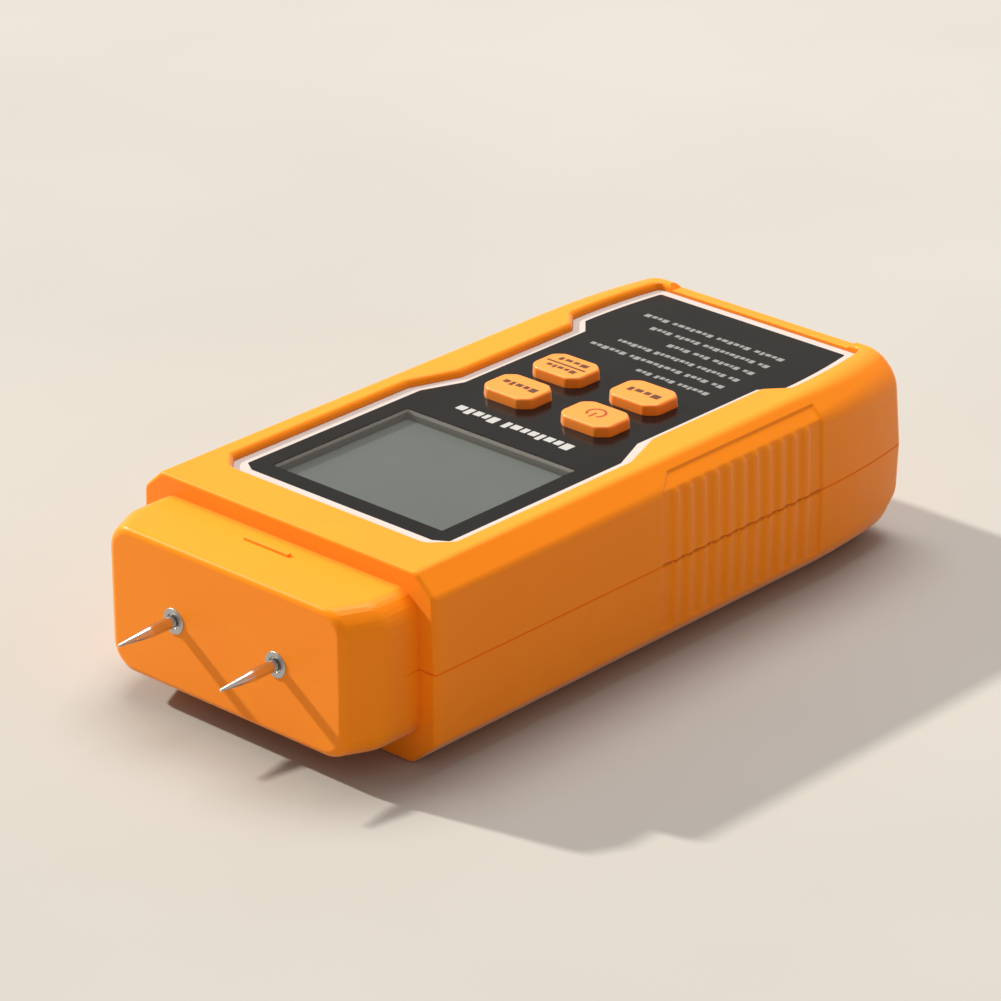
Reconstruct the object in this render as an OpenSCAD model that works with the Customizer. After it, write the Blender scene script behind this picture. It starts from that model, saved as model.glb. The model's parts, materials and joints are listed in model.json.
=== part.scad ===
// Hand-held pin moisture meter, lying on its back.
// Millimetres. +Z comes out of the face, the pins point along -Y, and the origin is on
// the flat back face, on the centre line, near the middle of the body's length.

/* [Body] */
// Width of the body at the parting line
body_w = 70; // [68:0.5:72]
// Height of the body
body_h = 36; // [35.5:0.1:36.5]
// Front face of the body, behind the nose
front_y = -64.5; // [-66:0.5:-64]
// Rear face of the body at the parting line
rear_y = 65; // [64:0.5:68]
// Height of the parting line between the two shells
split_z = 18.4; // [17.5:0.1:19]
// Wall thickness of the shells
wall = 2.2; // [2:0.1:2.4]
// Half width of the flat back face
back_half = 29; // [28.5:0.1:29.5]
// Half width of the flat top, between the shoulders
top_half = 30.3; // [29.8:0.1:30.6]
// Height at which the lower bevel meets the side wall
bevel_z = 5; // [4:0.5:6]
// Height at which the side wall meets the shoulder
shoulder_z = 32.2; // [31.8:0.1:32.6]
// How much each side wall leans in from the parting line to the shoulder
side_draft = 0.5; // [0.3:0.1:0.8]
// Where the sides start to curve in towards the rear
taper_y = 38.7; // [38:0.5:42]
// Radius of that curve, seen from above
taper_r = 125; // [110:5:160]

/* [Nose] */
// Front face of the nose
nose_y = -79.3; // [-81:0.1:-78]
// Where the sides of the nose start to slant in
nose_slant_y = -72.4; // [-74:0.1:-71]
// Half width of the nose beside the body
nose_half = 31.2; // [30:0.1:31.5]
// Half width of the nose just behind its front face
nose_front_half = 28.2; // [27:0.1:29]
// Underside and top of the nose
nose_z = [4.9, 32.4]; // [4:0.1:33]
// Corner radius of the nose
nose_r = 5; // [4:0.5:6]

/* [Face] */
// Depth of the face recess below the rim, down to the front plate's surface
rim_drop = 1.5; // [1.3:0.1:1.6]
// Thickness of the white face plate
plate_t = 0.8; // [0.6:0.1:0.9]
// Thickness of the black label let into the plate
label_t = 0.2; // [0.1:0.05:0.3]
// Size of the display window
window_size = [40.4, 34]; // [30:0.2:44]
// Centre of the display window along the body
window_y = -30.1; // [-31:0.1:-29]

/* [Keys] */
// Size of each key cap
key_size = [11.8, 8.9]; // [8:0.1:13]
// Corner cut of each key cap
key_corner = 2; // [1.6:0.1:3]
// Distance of each key from the centre line
key_x = 9.3; // [9:0.1:10]
// The two rows of keys
key_rows = [4.4, 17.5]; // [3:0.1:19]
// How far a key stands above the label
key_rise = 2; // [1.6:0.1:2.4]
// Travel of a key
key_travel = 0.6; // [0.3:0.1:0.8]

/* [Probe] */
// Distance between the two pins
pin_gap = 24.5; // [24:0.1:25.5]
// Radius of a pin
pin_r = 1.1; // [0.9:0.05:1.3]
// How far the parallel part of a pin stands out of the nose
pin_shank = 5.2; // [4:0.1:6]
// Length of the pin's tapered point
pin_point = 7.7; // [7:0.1:10]
// Radius of the flat collar at the foot of a pin
collar_r = 2.4; // [2.3:0.1:3]

/* [Grip] */
// Depth of the ribbed grip panels in the sides
grip_depth = 0.3; // [0.2:0.1:0.8]
// Number of ribs in each grip
rib_count = 11; // [10:11]
// Distance from rib to rib
rib_pitch = 3.6; // [3.4:0.1:3.7]
// Width of a rib at its top
rib_w = 2.1; // [1.6:0.1:2.4]
// Width of a rib at its foot
rib_foot = 2.9; // [2.4:0.1:3.1]

/* [Battery] */
// Width, length and height of the nine volt battery
battery_size = [26.5, 48.5, 17.5]; // [17:0.5:49]
// Front end of the battery's case
battery_y = 8.8; // [8.6:0.1:9]
// Underside of the battery
battery_z = 2.4; // [2.3:0.1:2.6]
// Width of the battery door
door_w = 30; // [29:0.5:31]
// Front edge of the battery door
door_y = 6; // [5:0.5:7]
// Thickness of the battery door
door_t = 1.85; // [1.7:0.05:1.9]

/* [Hidden] */
$fn = 64;

eps = 0.01;
reach = 35;                       // how far a half section runs past the centre line
face_z = body_h - rim_drop;       // surface of the plate and the label
plate_z = face_z - plate_t;       // floor of the face recess
roof_z = 32;                      // inside of the shell under the face recess
board_z = [25.4, 27];             // underside and top of the main board
rear_back_y = rear_y - 6;         // where the back face ends and the rear bevel starts
rear_lean = [0.4, 1.2];           // how far the rear wall leans in at its foot and its top
rear_corner_r = 3;
slice = 0.2;                      // thickness of the slices that the nose is drawn over
nose_edge = 0.7;                  // bevel round the nose's front face
key_gap = 0.15;                   // clearance round a key in its hole
key_round = 1.6;                  // radius at each corner of a key
flange_w = 1;                     // retaining flange round the foot of a key
flange_t = 1;
flange_top = roof_z - 0.1;
switch_t = 2.5;
switch_w = 6;
plunger_r = 1.75;
plunger_bed = 0.65;               // how deep a plunger sits in its switch at rest
pin_z = split_z;
pin_x = pin_gap / 2;
holder_y = [-75.5, -67.5];
holder_z = [12.4, 24.4];
socket_y = [-76.6, -66.5];
socket_r = 2.5;
collar_t = 0.2;
neck_r = 1.9;
boss_r = 4;
screw_front = [23, -56];
screw_rear = [24, 50];
screw_r = 1.2;
screw_head = [2.6, 2];            // radius and height
screw_head_z = 4;
screw_top = 27.5;
post_r = 2.3;
post_front = [27, -42];
post_rear = [24, 28];
board_screw_r = 0.9;
frame_wall = 1.1;
glass_size = [46, 40];
glass_z = [29.2, 31.2];
view_z = 32.6;                    // surface of the display's upper glass
tongue = [1.3, 1.4];              // inset of the tongue from the outside, and its height
tongue_gap = 0.12;
rail = [1.2, 0.85, 1.75];         // width of the door's rail, its underside and its top
rail_gap = 0.12;
bay_wall = 2.4;
bay_height = 14;
door_z = 0.15;
grip_y = [-6.2, 37.2];
grip_z = [6.2, 31.8, 33.9];
notch_half = 21.2;
notch_drop = 0.95;
ledge_half = 5.4;                 // low ledge across the top of the nose
ledge_y = [-69.1, -68.2];
ledge_rise = 0.55;
pad_y = 45;                       // middle of the battery's foam pad
pad_top = 22.2;
pin_stem_r = pin_r - 0.35;        // the part of a pin inside its collar and socket

ORANGE = [0.96, 0.55, 0.12];
BOARD_GREEN = [0.07, 0.35, 0.2];
STEEL = [0.75, 0.75, 0.77];
BRASS = [0.8, 0.62, 0.25];
DARK = [0.12, 0.12, 0.12];

// ---------------------------------------------------------------- helpers

function unit(v) = v / norm(v);
function left_normal(a, b) = let (d = unit(b - a)) [-d[1], d[0]];
function inset_vertex(a, b, c, t) =
    let (m = left_normal(a, b), n = left_normal(b, c)) b + (m + n) * t / (1 + m * n);
function inset_polygon(p, t) = [
    for (k = [0 : len(p) - 1])
        inset_vertex(p[(k + len(p) - 1) % len(p)], p[k], p[(k + 1) % len(p)], t)
];
function reversed(p) = [for (k = [len(p) - 1 : -1 : 0]) p[k]];
function mirrored(p) = [for (v = p) [-v[0], v[1]]];
function both_sides(p) = concat(p, reversed(mirrored(p)));
// how far the sides have curved in at a place along the body
function taper(y) = y <= taper_y ? 0 : taper_r - sqrt(pow(taper_r, 2) - pow(y - taper_y, 2));

module along_x(length) {
    rotate([90, 0, 90]) linear_extrude(length, center = true) children();
}

module along_y(y0, y1) {
    translate([0, y1, 0]) rotate([90, 0, 0]) linear_extrude(y1 - y0) children();
}

module cylinder_y(y0, y1, r, r2 = undef) {
    translate([0, y0, 0]) rotate([-90, 0, 0])
        cylinder(h = y1 - y0, r1 = r, r2 = is_undef(r2) ? r : r2);
}

module box(x, y, z) {
    translate([x[0], y[0], z[0]]) cube([x[1] - x[0], y[1] - y[0], z[1] - z[0]]);
}

module centred_box(at, size, z) {
    box([at[0] - size[0] / 2, at[0] + size[0] / 2],
        [at[1] - size[1] / 2, at[1] + size[1] / 2], z);
}

module both() {
    children();
    mirror([1, 0, 0]) children();
}

module soften(r) {
    offset(r = r) offset(r = -2 * r) offset(r = r) children();
}

// ---------------------------------------------------------------- outer form of the case

// right half of the cross-section, anticlockwise
section = [
    [-reach, 0], [back_half, 0], [body_w / 2 - 0.2, bevel_z], [body_w / 2, split_z],
    [body_w / 2 - side_draft, shoulder_z], [top_half, body_h], [-reach, body_h]
];

// side view of the body, y and z
profile = [
    [front_y, 0], [rear_back_y, 0], [rear_y - rear_lean[0], bevel_z], [rear_y, split_z],
    [rear_y - rear_lean[1], body_h], [front_y, body_h]
];

// everything inside the right side wall: a straight stretch, then the curve at the rear
module side_block(t) {
    along_y(front_y - 1, taper_y) polygon(inset_polygon(section, t));
    translate([body_w / 2 - taper_r, taper_y, 0]) rotate_extrude(angle = 32, $fn = 128)
        translate([taper_r - body_w / 2, 0]) polygon(inset_polygon(section, t));
}

// rounds the corner seen from above, on a circle that touches both the curved side and the rear
module rear_corner(t) {
    r = max(rear_corner_r - t, 0.6);
    from_side = taper_r - t - r;
    along = rear_y - t - r - taper_y;
    turn = asin(along / from_side);
    translate([body_w / 2 - taper_r + from_side * cos(turn), taper_y + along, -1])
        linear_extrude(body_h + 2) difference() {
            polygon([[0, 0], 9 * [cos(turn), sin(turn)], [9, 9], [0, 9]]);
            circle(r);
        }
}

module body_block(t) {
    difference() {
        intersection() {
            side_block(t);
            mirror([1, 0, 0]) side_block(t);
            along_x(2 * body_w) polygon(inset_polygon(profile, t));
        }
        both() rear_corner(t);
    }
}

// one slice of the nose, from y back by the thickness of a slice
module nose_slice(y, half, r, t) {
    z0 = nose_z[0] + t + r;
    z1 = nose_z[1] - t - r;
    along_y(y, y + slice) for (x = [r + t - half, half - t - r], z = [z0, z1])
        translate([x, z]) circle(r, $fn = 32);
}

module nose_block(t) {
    r = max(nose_r - t, 1.5);
    hull() {
        nose_slice(front_y + 4, nose_half, r, t);
        nose_slice(nose_slant_y, nose_half, r, t);
        nose_slice(nose_y + t + nose_edge, nose_front_half, r, t);
        nose_slice(nose_y + t, nose_front_half, r, t + nose_edge);
    }
}

module case_block(t) {
    body_block(t);
    nose_block(t);
}

// plan of a pair of ribs, one in each side, with sloping flanks
module rib() {
    foot = body_w / 2 - grip_depth - side_draft;
    both() polygon([[0, -rib_foot / 2], [foot, -rib_foot / 2], [body_w / 2, -rib_w / 2],
        [body_w / 2 + 1, -rib_w / 2], [body_w / 2 + 1, rib_w / 2], [body_w / 2, rib_w / 2],
        [foot, rib_foot / 2], [0, rib_foot / 2]]);
}

// side panels let into both shells for the fingers, with ribs left standing
module grip_cut() {
    difference() {
        both() translate([body_w / 2, 0, 0]) along_x(20) polygon([
            [grip_y[0], grip_z[0]], [grip_y[1], grip_z[0]], [grip_y[1], grip_z[2]],
            [grip_y[0] + 3.8, grip_z[2]], [grip_y[0], grip_z[1]]
        ]);
        body_block(grip_depth);
        for (k = [0 : rib_count - 1])
            translate([0, grip_y[0] + 3.4 + k * rib_pitch, grip_z[0] - 1])
                linear_extrude(shoulder_z + 1.3 - grip_z[0]) rib();
    }
}

module screw_places() {
    both() {
        translate(screw_front) children();
        translate(screw_rear) children();
    }
}

module post_places() {
    both() {
        translate(post_front) children();
        translate(post_rear) children();
    }
}

module pin_places() {
    both() translate([pin_x, 0, pin_z]) children();
}

module key_places() {
    for (side = [-1, 1], row = key_rows) translate([side * key_x, row]) children();
}

// ---------------------------------------------------------------- outlines of the face

function rear_curve(half, y0, y1) = [for (k = [0 : 6]) let (y = y0 + (y1 - y0) * k / 6)
    [half - taper(y), y]];

// wide at the display, narrow at the keys and wide again behind them
recess_side = concat([
    [23.1, -54.2], [26.5, -50.6], [26.5, -6.2], [22.8, 3.9], [22.7, 34.3]
], rear_curve(26.3, 38.4, 61.2));
label_side = concat([
    [21.5, -51], [24.1, -49.4], [24.1, -5.6], [20.7, 2.7], [20.7, 35.7]
], rear_curve(24.05, 39.5, 59.3));

module recess_outline(gap = 0) {
    offset(delta = -gap) soften(0.8) polygon(both_sides(recess_side));
}

module label_outline() {
    soften(0.5) polygon(both_sides(label_side));
}

module window_outline(margin = 0) {
    translate([0, window_y]) square(window_size + 2 * [margin, margin], center = true);
}

module key_outline(margin = 0) {
    x = key_size[0] / 2 + margin;
    y = key_size[1] / 2 + margin;
    c = key_corner + margin * 0.6;
    soften(key_round) polygon([
        [-x + c, -y], [x - c, -y], [x, -y + c * 0.85], [x, y - c * 0.85],
        [x - c, y], [-x + c, y], [-x, y - c * 0.85], [-x, -y + c * 0.85]
    ]);
}

// ---------------------------------------------------------------- case

module top_shell() {
    color(ORANGE) difference() {
        union() {
            difference() {
                case_block(0);
                difference() {
                    case_block(wall);
                    box([-body_w, body_w], [-100, 100], [roof_z, body_h + 1]);
                }
                intersection() {
                    case_block(tongue[0] - tongue_gap);
                    box([-body_w, body_w], [-100, 100], [0, split_z + tongue[1] + tongue_gap]);
                }
                grip_cut();
            }
            screw_places() translate([0, 0, split_z]) cylinder(h = roof_z - split_z + 1, r = boss_r);
            post_places() translate([0, 0, board_z[1]])
                cylinder(h = roof_z - board_z[1] + 1, r = post_r);
            both() centred_box([8, pad_y], [1.6, 22], [pad_top, roof_z + 1]);
            box([-ledge_half, ledge_half], ledge_y, [nose_z[1] - 0.5, nose_z[1] + ledge_rise]);
        }
        box([-body_w, body_w], [-100, 100], [-1, split_z]);
        translate([0, 0, plate_z]) linear_extrude(body_h) recess_outline();
        translate([0, 0, roof_z - 2]) linear_extrude(body_h) window_outline(1.7);
        key_places() translate([0, 0, roof_z - 2]) linear_extrude(body_h) key_outline(key_gap);
        screw_places() translate([0, 0, split_z - 1])
            cylinder(h = screw_top + 0.5 - split_z + 1, r = screw_r + 0.05);
        post_places() translate([0, 0, board_z[1] - 1]) cylinder(h = 5.4, r = board_screw_r + 0.05);
        pin_places() cylinder_y(nose_y - 1, nose_y + 6, neck_r + 0.1);
        along_y(61.2, rear_y + 1) polygon([
            [-notch_half - 1.5, body_h + 0.5], [-notch_half, body_h - notch_drop],
            [notch_half, body_h - notch_drop], [notch_half + 1.5, body_h + 0.5]
        ]);
    }
}

module bottom_shell() {
    color(ORANGE) difference() {
        union() {
            difference() {
                case_block(0);
                case_block(wall);
                box([-body_w, body_w], [-100, 100], [split_z, body_h + 1]);
                grip_cut();
            }
            intersection() {
                difference() {
                    case_block(tongue[0]);
                    case_block(wall);
                }
                box([-body_w, body_w], [-100, 100], [split_z - 2, split_z + tongue[1]]);
            }
            screw_places() translate([0, 0, 1]) cylinder(h = split_z - 1, r = boss_r);
            both() box([door_w / 2 + rail_gap, door_w / 2 + rail_gap + bay_wall],
                       [1.5, 57], [1, bay_height]);
            box([-door_w / 2 - bay_wall, door_w / 2 + bay_wall], [1.5, 3], [1, bay_height]);
            both() centred_box([pin_x, -71.5], [2, 7], [nose_z[0] + 1, holder_z[0]]);
        }
        screw_places() {
            translate([0, 0, -1])
                cylinder(h = screw_head_z + screw_head[1] + 1.2, r = screw_head[0] + 0.3);
            translate([0, 0, 1]) cylinder(h = split_z, r = screw_r + 0.3);
        }
        box([-door_w / 2 - rail_gap, door_w / 2 + rail_gap], [door_y - rail_gap, rear_y + 1],
            [-1, door_z + door_t + rail_gap]);
        box([-door_w / 2 - rail[0] - rail_gap, door_w / 2 + rail[0] + rail_gap],
            [door_y + 2 - rail_gap, rear_y + 1], [rail[1] - rail_gap, rail[2] + rail_gap]);
        box([-door_w / 2 + 1.2, door_w / 2 - 1.2], [door_y + 2.4, 57.4], [-1, bevel_z]);
        pin_places() cylinder_y(nose_y - 1, nose_y + 6, neck_r + 0.1);
    }
}

// slides off rearwards on a rail along each edge
module battery_door() {
    color(ORANGE) difference() {
        union() {
            intersection() {
                box([-door_w / 2, door_w / 2], [door_y, rear_y], [door_z, door_z + door_t]);
                body_block(0);
            }
            both() box([door_w / 2 - 1, door_w / 2 + rail[0]], [door_y + 2, 57], [rail[1], rail[2]]);
        }
        for (k = [0 : 4]) translate([0, door_y + 5 + 2.2 * k, door_z]) rotate([0, 90, 0])
            cylinder(h = 14, r = 0.6, center = true);
    }
}

module shell_screws() {
    color(STEEL) screw_places() difference() {
        union() {
            translate([0, 0, screw_head_z]) cylinder(h = screw_head[1], r = screw_head[0]);
            translate([0, 0, screw_head_z]) cylinder(h = screw_top - screw_head_z, r = screw_r);
        }
        translate([0, 0, screw_head_z - eps]) {
            centred_box([0, 0], [3.2, 0.7], [0, 1.1]);
            centred_box([0, 0], [0.7, 3.2], [0, 1.1]);
        }
    }
}

// ---------------------------------------------------------------- face and display

module face_plate() {
    color([0.95, 0.93, 0.91]) difference() {
        translate([0, 0, plate_z]) linear_extrude(plate_t) difference() {
            recess_outline(0.1);
            window_outline(0.05);
            key_places() key_outline(key_gap);
        }
        translate([0, 0, face_z - label_t]) linear_extrude(1) label_outline();
    }
}

module face_label() {
    color([0.06, 0.06, 0.06]) translate([0, 0, face_z - label_t])
        linear_extrude(label_t) difference() {
            label_outline();
            window_outline(0.05);
            key_places() key_outline(key_gap);
        }
}

module display_window() {
    color([0.7, 0.75, 0.75, 0.4]) translate([0, 0, plate_z])
        linear_extrude(plate_t) window_outline();
}

// carries the glass and lines the opening in the shell up to the window
module display_frame() {
    color(DARK) {
        difference() {
            centred_box([0, window_y], glass_size + [2, 2] * frame_wall + [0.3, 0.3],
                        [board_z[1], roof_z - 0.1]);
            centred_box([0, window_y], glass_size + [0.2, 0.2], [board_z[1] - 1, glass_z[1] + 0.05]);
            centred_box([0, window_y], window_size, [board_z[1], body_h]);
        }
        difference() {
            centred_box([0, window_y], window_size + [3.2, 3.2], [roof_z - 0.2, plate_z - 0.02]);
            centred_box([0, window_y], window_size, [board_z[1], body_h]);
        }
    }
}

// the lower glass keeps a ledge for the contact strips; the upper one fills the opening of the frame
module display_glass() {
    color([0.5, 0.52, 0.47]) {
        centred_box([0, window_y], glass_size, glass_z);
        centred_box([0, window_y], window_size - [0.6, 0.6], [glass_z[1] - eps, view_z]);
    }
}

module backlight_panel() {
    color([0.9, 0.9, 0.85]) centred_box([0, window_y], [44, 32], [board_z[1] + 0.1, glass_z[0] - 0.1]);
}

module contact_strip(y) {
    color([0.75, 0.7, 0.62]) centred_box([0, y], [42, 2.4], [board_z[1], glass_z[0]]);
}

module contact_strip_front() { contact_strip(window_y - glass_size[1] / 2 + 1.8); }
module contact_strip_rear() { contact_strip(window_y + glass_size[1] / 2 - 1.8); }

// ---------------------------------------------------------------- keys and their switches

module key_cap(at) {
    color([0.98, 0.6, 0.16]) translate(at) {
        translate([0, 0, roof_z - 0.5]) linear_extrude(face_z + key_rise - roof_z + 0.5) key_outline();
        translate([0, 0, flange_top - flange_t]) linear_extrude(flange_t) key_outline(flange_w);
    }
}

module tact_switch(at) {
    color([0.15, 0.15, 0.16]) difference() {
        centred_box(at, [switch_w, switch_w], [board_z[1], board_z[1] + switch_t]);
        translate([at[0], at[1], board_z[1] + switch_t - plunger_bed - key_travel - 0.1])
            cylinder(h = 5, r = plunger_r + 0.08);
    }
}

module plunger(at) {
    color([0.85, 0.83, 0.78]) translate([at[0], at[1], board_z[1] + switch_t - plunger_bed])
        cylinder(h = flange_top - flange_t - board_z[1] - switch_t + plunger_bed, r = plunger_r);
}

material_at = [-key_x, key_rows[0]];
unit_at = [-key_x, key_rows[1]];
power_at = [key_x, key_rows[0]];
hold_at = [key_x, key_rows[1]];

module material_key() { key_cap(material_at); }
module unit_key() { key_cap(unit_at); }
module power_key() { key_cap(power_at); }
module hold_key() { key_cap(hold_at); }
module material_switch() { tact_switch(material_at); }
module unit_switch() { tact_switch(unit_at); }
module power_switch() { tact_switch(power_at); }
module hold_switch() { tact_switch(hold_at); }
module material_plunger() { plunger(material_at); }
module unit_plunger() { plunger(unit_at); }
module power_plunger() { plunger(power_at); }
module hold_plunger() { plunger(hold_at); }

// ---------------------------------------------------------------- electronics

module main_board() {
    color(BOARD_GREEN) difference() {
        box([-29.5, 29.5], [-50, 31], board_z);
        post_places() translate([0, 0, board_z[0] - 1]) cylinder(h = 4, r = board_screw_r + 0.2);
    }
}

module board_screws() {
    color(STEEL) post_places() {
        translate([0, 0, board_z[0] - 1.2]) cylinder(h = 1.2, r = 1.8);
        translate([0, 0, board_z[0] - 0.5]) cylinder(h = 6, r = board_screw_r);
    }
}

module controller_chip() {
    color(DARK) centred_box([0, -20], [10, 10], [board_z[0] - 1.4, board_z[0]]);
}

module amplifier_chip() {
    color(DARK) centred_box([-6, -38], [5, 4], [board_z[0] - 1.4, board_z[0]]);
}

module crystal() {
    color(STEEL) translate([0, 0, board_z[0] - 3.5]) linear_extrude(3.5)
        translate([13, -20]) offset(r = 2.2) square([6.4, 0.2], center = true);
}

module buzzer() {
    color(DARK) translate([-18, -22, board_z[0] - 5.5]) difference() {
        cylinder(h = 5.5, r = 6);
        translate([0, 0, -1]) cylinder(h = 3, r = 1);
    }
}

module capacitor(at, r, h) {
    color([0.1, 0.15, 0.3]) translate([at[0], at[1], board_z[0] - h]) cylinder(h = h, r = r);
}

module capacitor_large() { capacitor([18, -6], 3.1, 8); }
module capacitor_small() { capacitor([10, -5], 2.5, 6); }

// measures the current between the pins
module sense_resistor() {
    color([0.75, 0.65, 0.5]) translate([0, -44, board_z[0] - 1.3]) rotate([0, 90, 0])
        cylinder(h = 7, r = 1.2, center = true);
}

// ---------------------------------------------------------------- probe

module probe_pin(side) {
    color(STEEL) translate([side * pin_x, 0, pin_z]) {
        cylinder_y(nose_y - pin_shank, nose_y - collar_t, pin_r);
        cylinder_y(nose_y - collar_t - eps, socket_y[1] - 1.5, pin_stem_r);
        cylinder_y(nose_y - pin_shank - pin_point, nose_y - pin_shank, 0.25, pin_r);
    }
}

module collar(side) {
    color([0.82, 0.82, 0.84]) translate([side * pin_x, 0, pin_z]) difference() {
        union() {
            cylinder_y(nose_y - collar_t, nose_y, collar_r);
            cylinder_y(nose_y - eps, socket_y[0], neck_r);
        }
        cylinder_y(nose_y - 1, socket_y[0] + 1, pin_stem_r + 0.05);
    }
}

module socket(side) {
    color(BRASS) translate([side * pin_x, 0, pin_z]) difference() {
        cylinder_y(socket_y[0], socket_y[1], socket_r);
        cylinder_y(socket_y[0] - 1, socket_y[1] - 1, pin_stem_r + 0.05);
    }
}

module pin_holder() {
    color(DARK) difference() {
        box([-17, 17], holder_y, holder_z);
        pin_places() cylinder_y(holder_y[0] - 1, holder_y[1] + 1, socket_r + 0.02);
    }
}

module pin_left() { probe_pin(-1); }
module pin_right() { probe_pin(1); }
module collar_left() { collar(-1); }
module collar_right() { collar(1); }
module socket_left() { socket(-1); }
module socket_right() { socket(1); }

// ---------------------------------------------------------------- wires

// routes, from their first soldered end to the underside of the board
probe_route = [
    [12.2, -66.5, 18.4], [12.2, -64, 18.4], [12.5, -60, 19.5], [13, -56, 22],
    [13.5, -51, 22.8], [14, -47.5, 23], [14, -46, 24.2], [14, -46, 25.3]
];
lead_route = [
    [5, 6.4, 18.2], [5, 6.2, 20], [6, 4.5, 21.8], [7.5, 2, 22.6], [8, 0.2, 23.8], [8, 0, 25.3]
];
wire_r = 0.6;
wire_sides = 8;

function catmull(a, b, c, d, u) = 0.5 * (2 * b + (c - a) * u
    + (2 * a - 5 * b + 4 * c - d) * pow(u, 2) + (3 * b - a - 3 * c + d) * pow(u, 3));
function at_end(p, k) = p[min(max(k, 0), len(p) - 1)];
function smooth_route(p, steps) = concat([
    for (k = [0 : len(p) - 2], s = [0 : steps - 1])
        catmull(at_end(p, k - 1), p[k], p[k + 1], at_end(p, k + 2), s / steps)
], [p[len(p) - 1]]);
function ring(p, k, r) =
    let (t = unit(at_end(p, k + 1) - at_end(p, k - 1)), u = unit(cross(t, [1, 0, 0])), v = cross(t, u))
    [for (s = [0 : wire_sides - 1])
        p[k] + r * (cos(360 * s / wire_sides) * u + sin(360 * s / wire_sides) * v)];

module wire(route) {
    p = smooth_route(route, 3);
    n = len(p);
    m = wire_sides;
    polyhedron(
        points = [for (k = [0 : n - 1]) each ring(p, k, wire_r)],
        faces = concat(
            [[for (s = [0 : m - 1]) s]],
            [[for (s = [m - 1 : -1 : 0]) (n - 1) * m + s]],
            [for (k = [0 : n - 2], s = [0 : m - 1])
                [k * m + s, (k + 1) * m + s, (k + 1) * m + (s + 1) % m, k * m + (s + 1) % m]]
        )
    );
}

module probe_wire_right() { color("white") wire(probe_route); }
module probe_wire_left() { color("dimgray") mirror([1, 0, 0]) wire(probe_route); }
module battery_lead_positive() { color("red") wire(lead_route); }
module battery_lead_negative() { color("black") mirror([1, 0, 0]) wire(lead_route); }

// ---------------------------------------------------------------- battery

stud_x = 12.7 / 2;
stud_r = [2.8, 3.9];
stud_h = 2.6;
stud_z = battery_z + battery_size[2] / 2;

module battery() {
    color([0.2, 0.22, 0.25]) {
        translate([0, battery_y, battery_z]) translate([0, battery_size[1], battery_size[2] / 2])
            rotate([90, 0, 0]) linear_extrude(battery_size[1]) offset(r = 1.5)
                square([battery_size[0] - 3, battery_size[2] - 3], center = true);
        translate([-stud_x, 0, stud_z]) cylinder_y(battery_y - stud_h, battery_y + 0.5, stud_r[0]);
        translate([stud_x, 0, stud_z]) cylinder_y(battery_y - stud_h, battery_y + 0.5, stud_r[1]);
    }
}

module battery_snap() {
    color(DARK) difference() {
        box([-12.5, 12.5], [battery_y - 4.4, battery_y - 0.2], [stud_z - 6.5, stud_z + 6.5]);
        translate([-stud_x, 0, stud_z]) cylinder_y(battery_y - stud_h - 0.1, battery_y, stud_r[0] + 0.1);
        translate([stud_x, 0, stud_z]) cylinder_y(battery_y - stud_h - 0.1, battery_y, stud_r[1] + 0.1);
    }
}

// foam that presses on the battery from the top shell's ribs
module battery_pad() {
    color([0.25, 0.25, 0.27])
        centred_box([0, pad_y], [20, 20], [battery_z + battery_size[2] + 0.1, pad_top]);
}

top_shell();
bottom_shell();
battery_door();
shell_screws();
face_plate();
face_label();
display_window();
display_frame();
display_glass();
backlight_panel();
contact_strip_front();
contact_strip_rear();
material_key();
unit_key();
power_key();
hold_key();
material_switch();
unit_switch();
power_switch();
hold_switch();
material_plunger();
unit_plunger();
power_plunger();
hold_plunger();
main_board();
board_screws();
controller_chip();
amplifier_chip();
crystal();
buzzer();
capacitor_large();
capacitor_small();
sense_resistor();
pin_left();
pin_right();
collar_left();
collar_right();
socket_left();
socket_right();
pin_holder();
probe_wire_left();
probe_wire_right();
battery();
battery_snap();
battery_lead_positive();
battery_lead_negative();
battery_pad();
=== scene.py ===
import json
import math

import bmesh
import bpy
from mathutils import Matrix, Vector


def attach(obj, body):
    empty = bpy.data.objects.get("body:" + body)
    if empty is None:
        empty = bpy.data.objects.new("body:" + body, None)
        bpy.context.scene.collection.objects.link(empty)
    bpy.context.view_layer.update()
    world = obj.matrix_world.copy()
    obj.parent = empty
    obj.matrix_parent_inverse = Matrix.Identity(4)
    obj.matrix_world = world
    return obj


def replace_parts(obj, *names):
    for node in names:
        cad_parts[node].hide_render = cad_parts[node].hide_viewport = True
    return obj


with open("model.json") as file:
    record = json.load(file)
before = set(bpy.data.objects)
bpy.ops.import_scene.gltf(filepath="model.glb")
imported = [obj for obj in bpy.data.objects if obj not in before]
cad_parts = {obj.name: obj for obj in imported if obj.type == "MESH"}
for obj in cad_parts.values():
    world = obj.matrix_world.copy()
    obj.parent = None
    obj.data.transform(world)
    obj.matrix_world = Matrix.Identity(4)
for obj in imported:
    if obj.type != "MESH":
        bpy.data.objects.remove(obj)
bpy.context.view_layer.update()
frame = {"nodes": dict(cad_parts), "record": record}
scene = bpy.context.scene
nodes = frame["nodes"]

# ---------------------------------------------------------------- sizes, in millimetres
# X runs across, Y from the pins toward the rear, Z up from the back of the case
MM = 0.001
PROUD = 0.006                     # the rounded forms stand this far outside the CAD's flats

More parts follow.
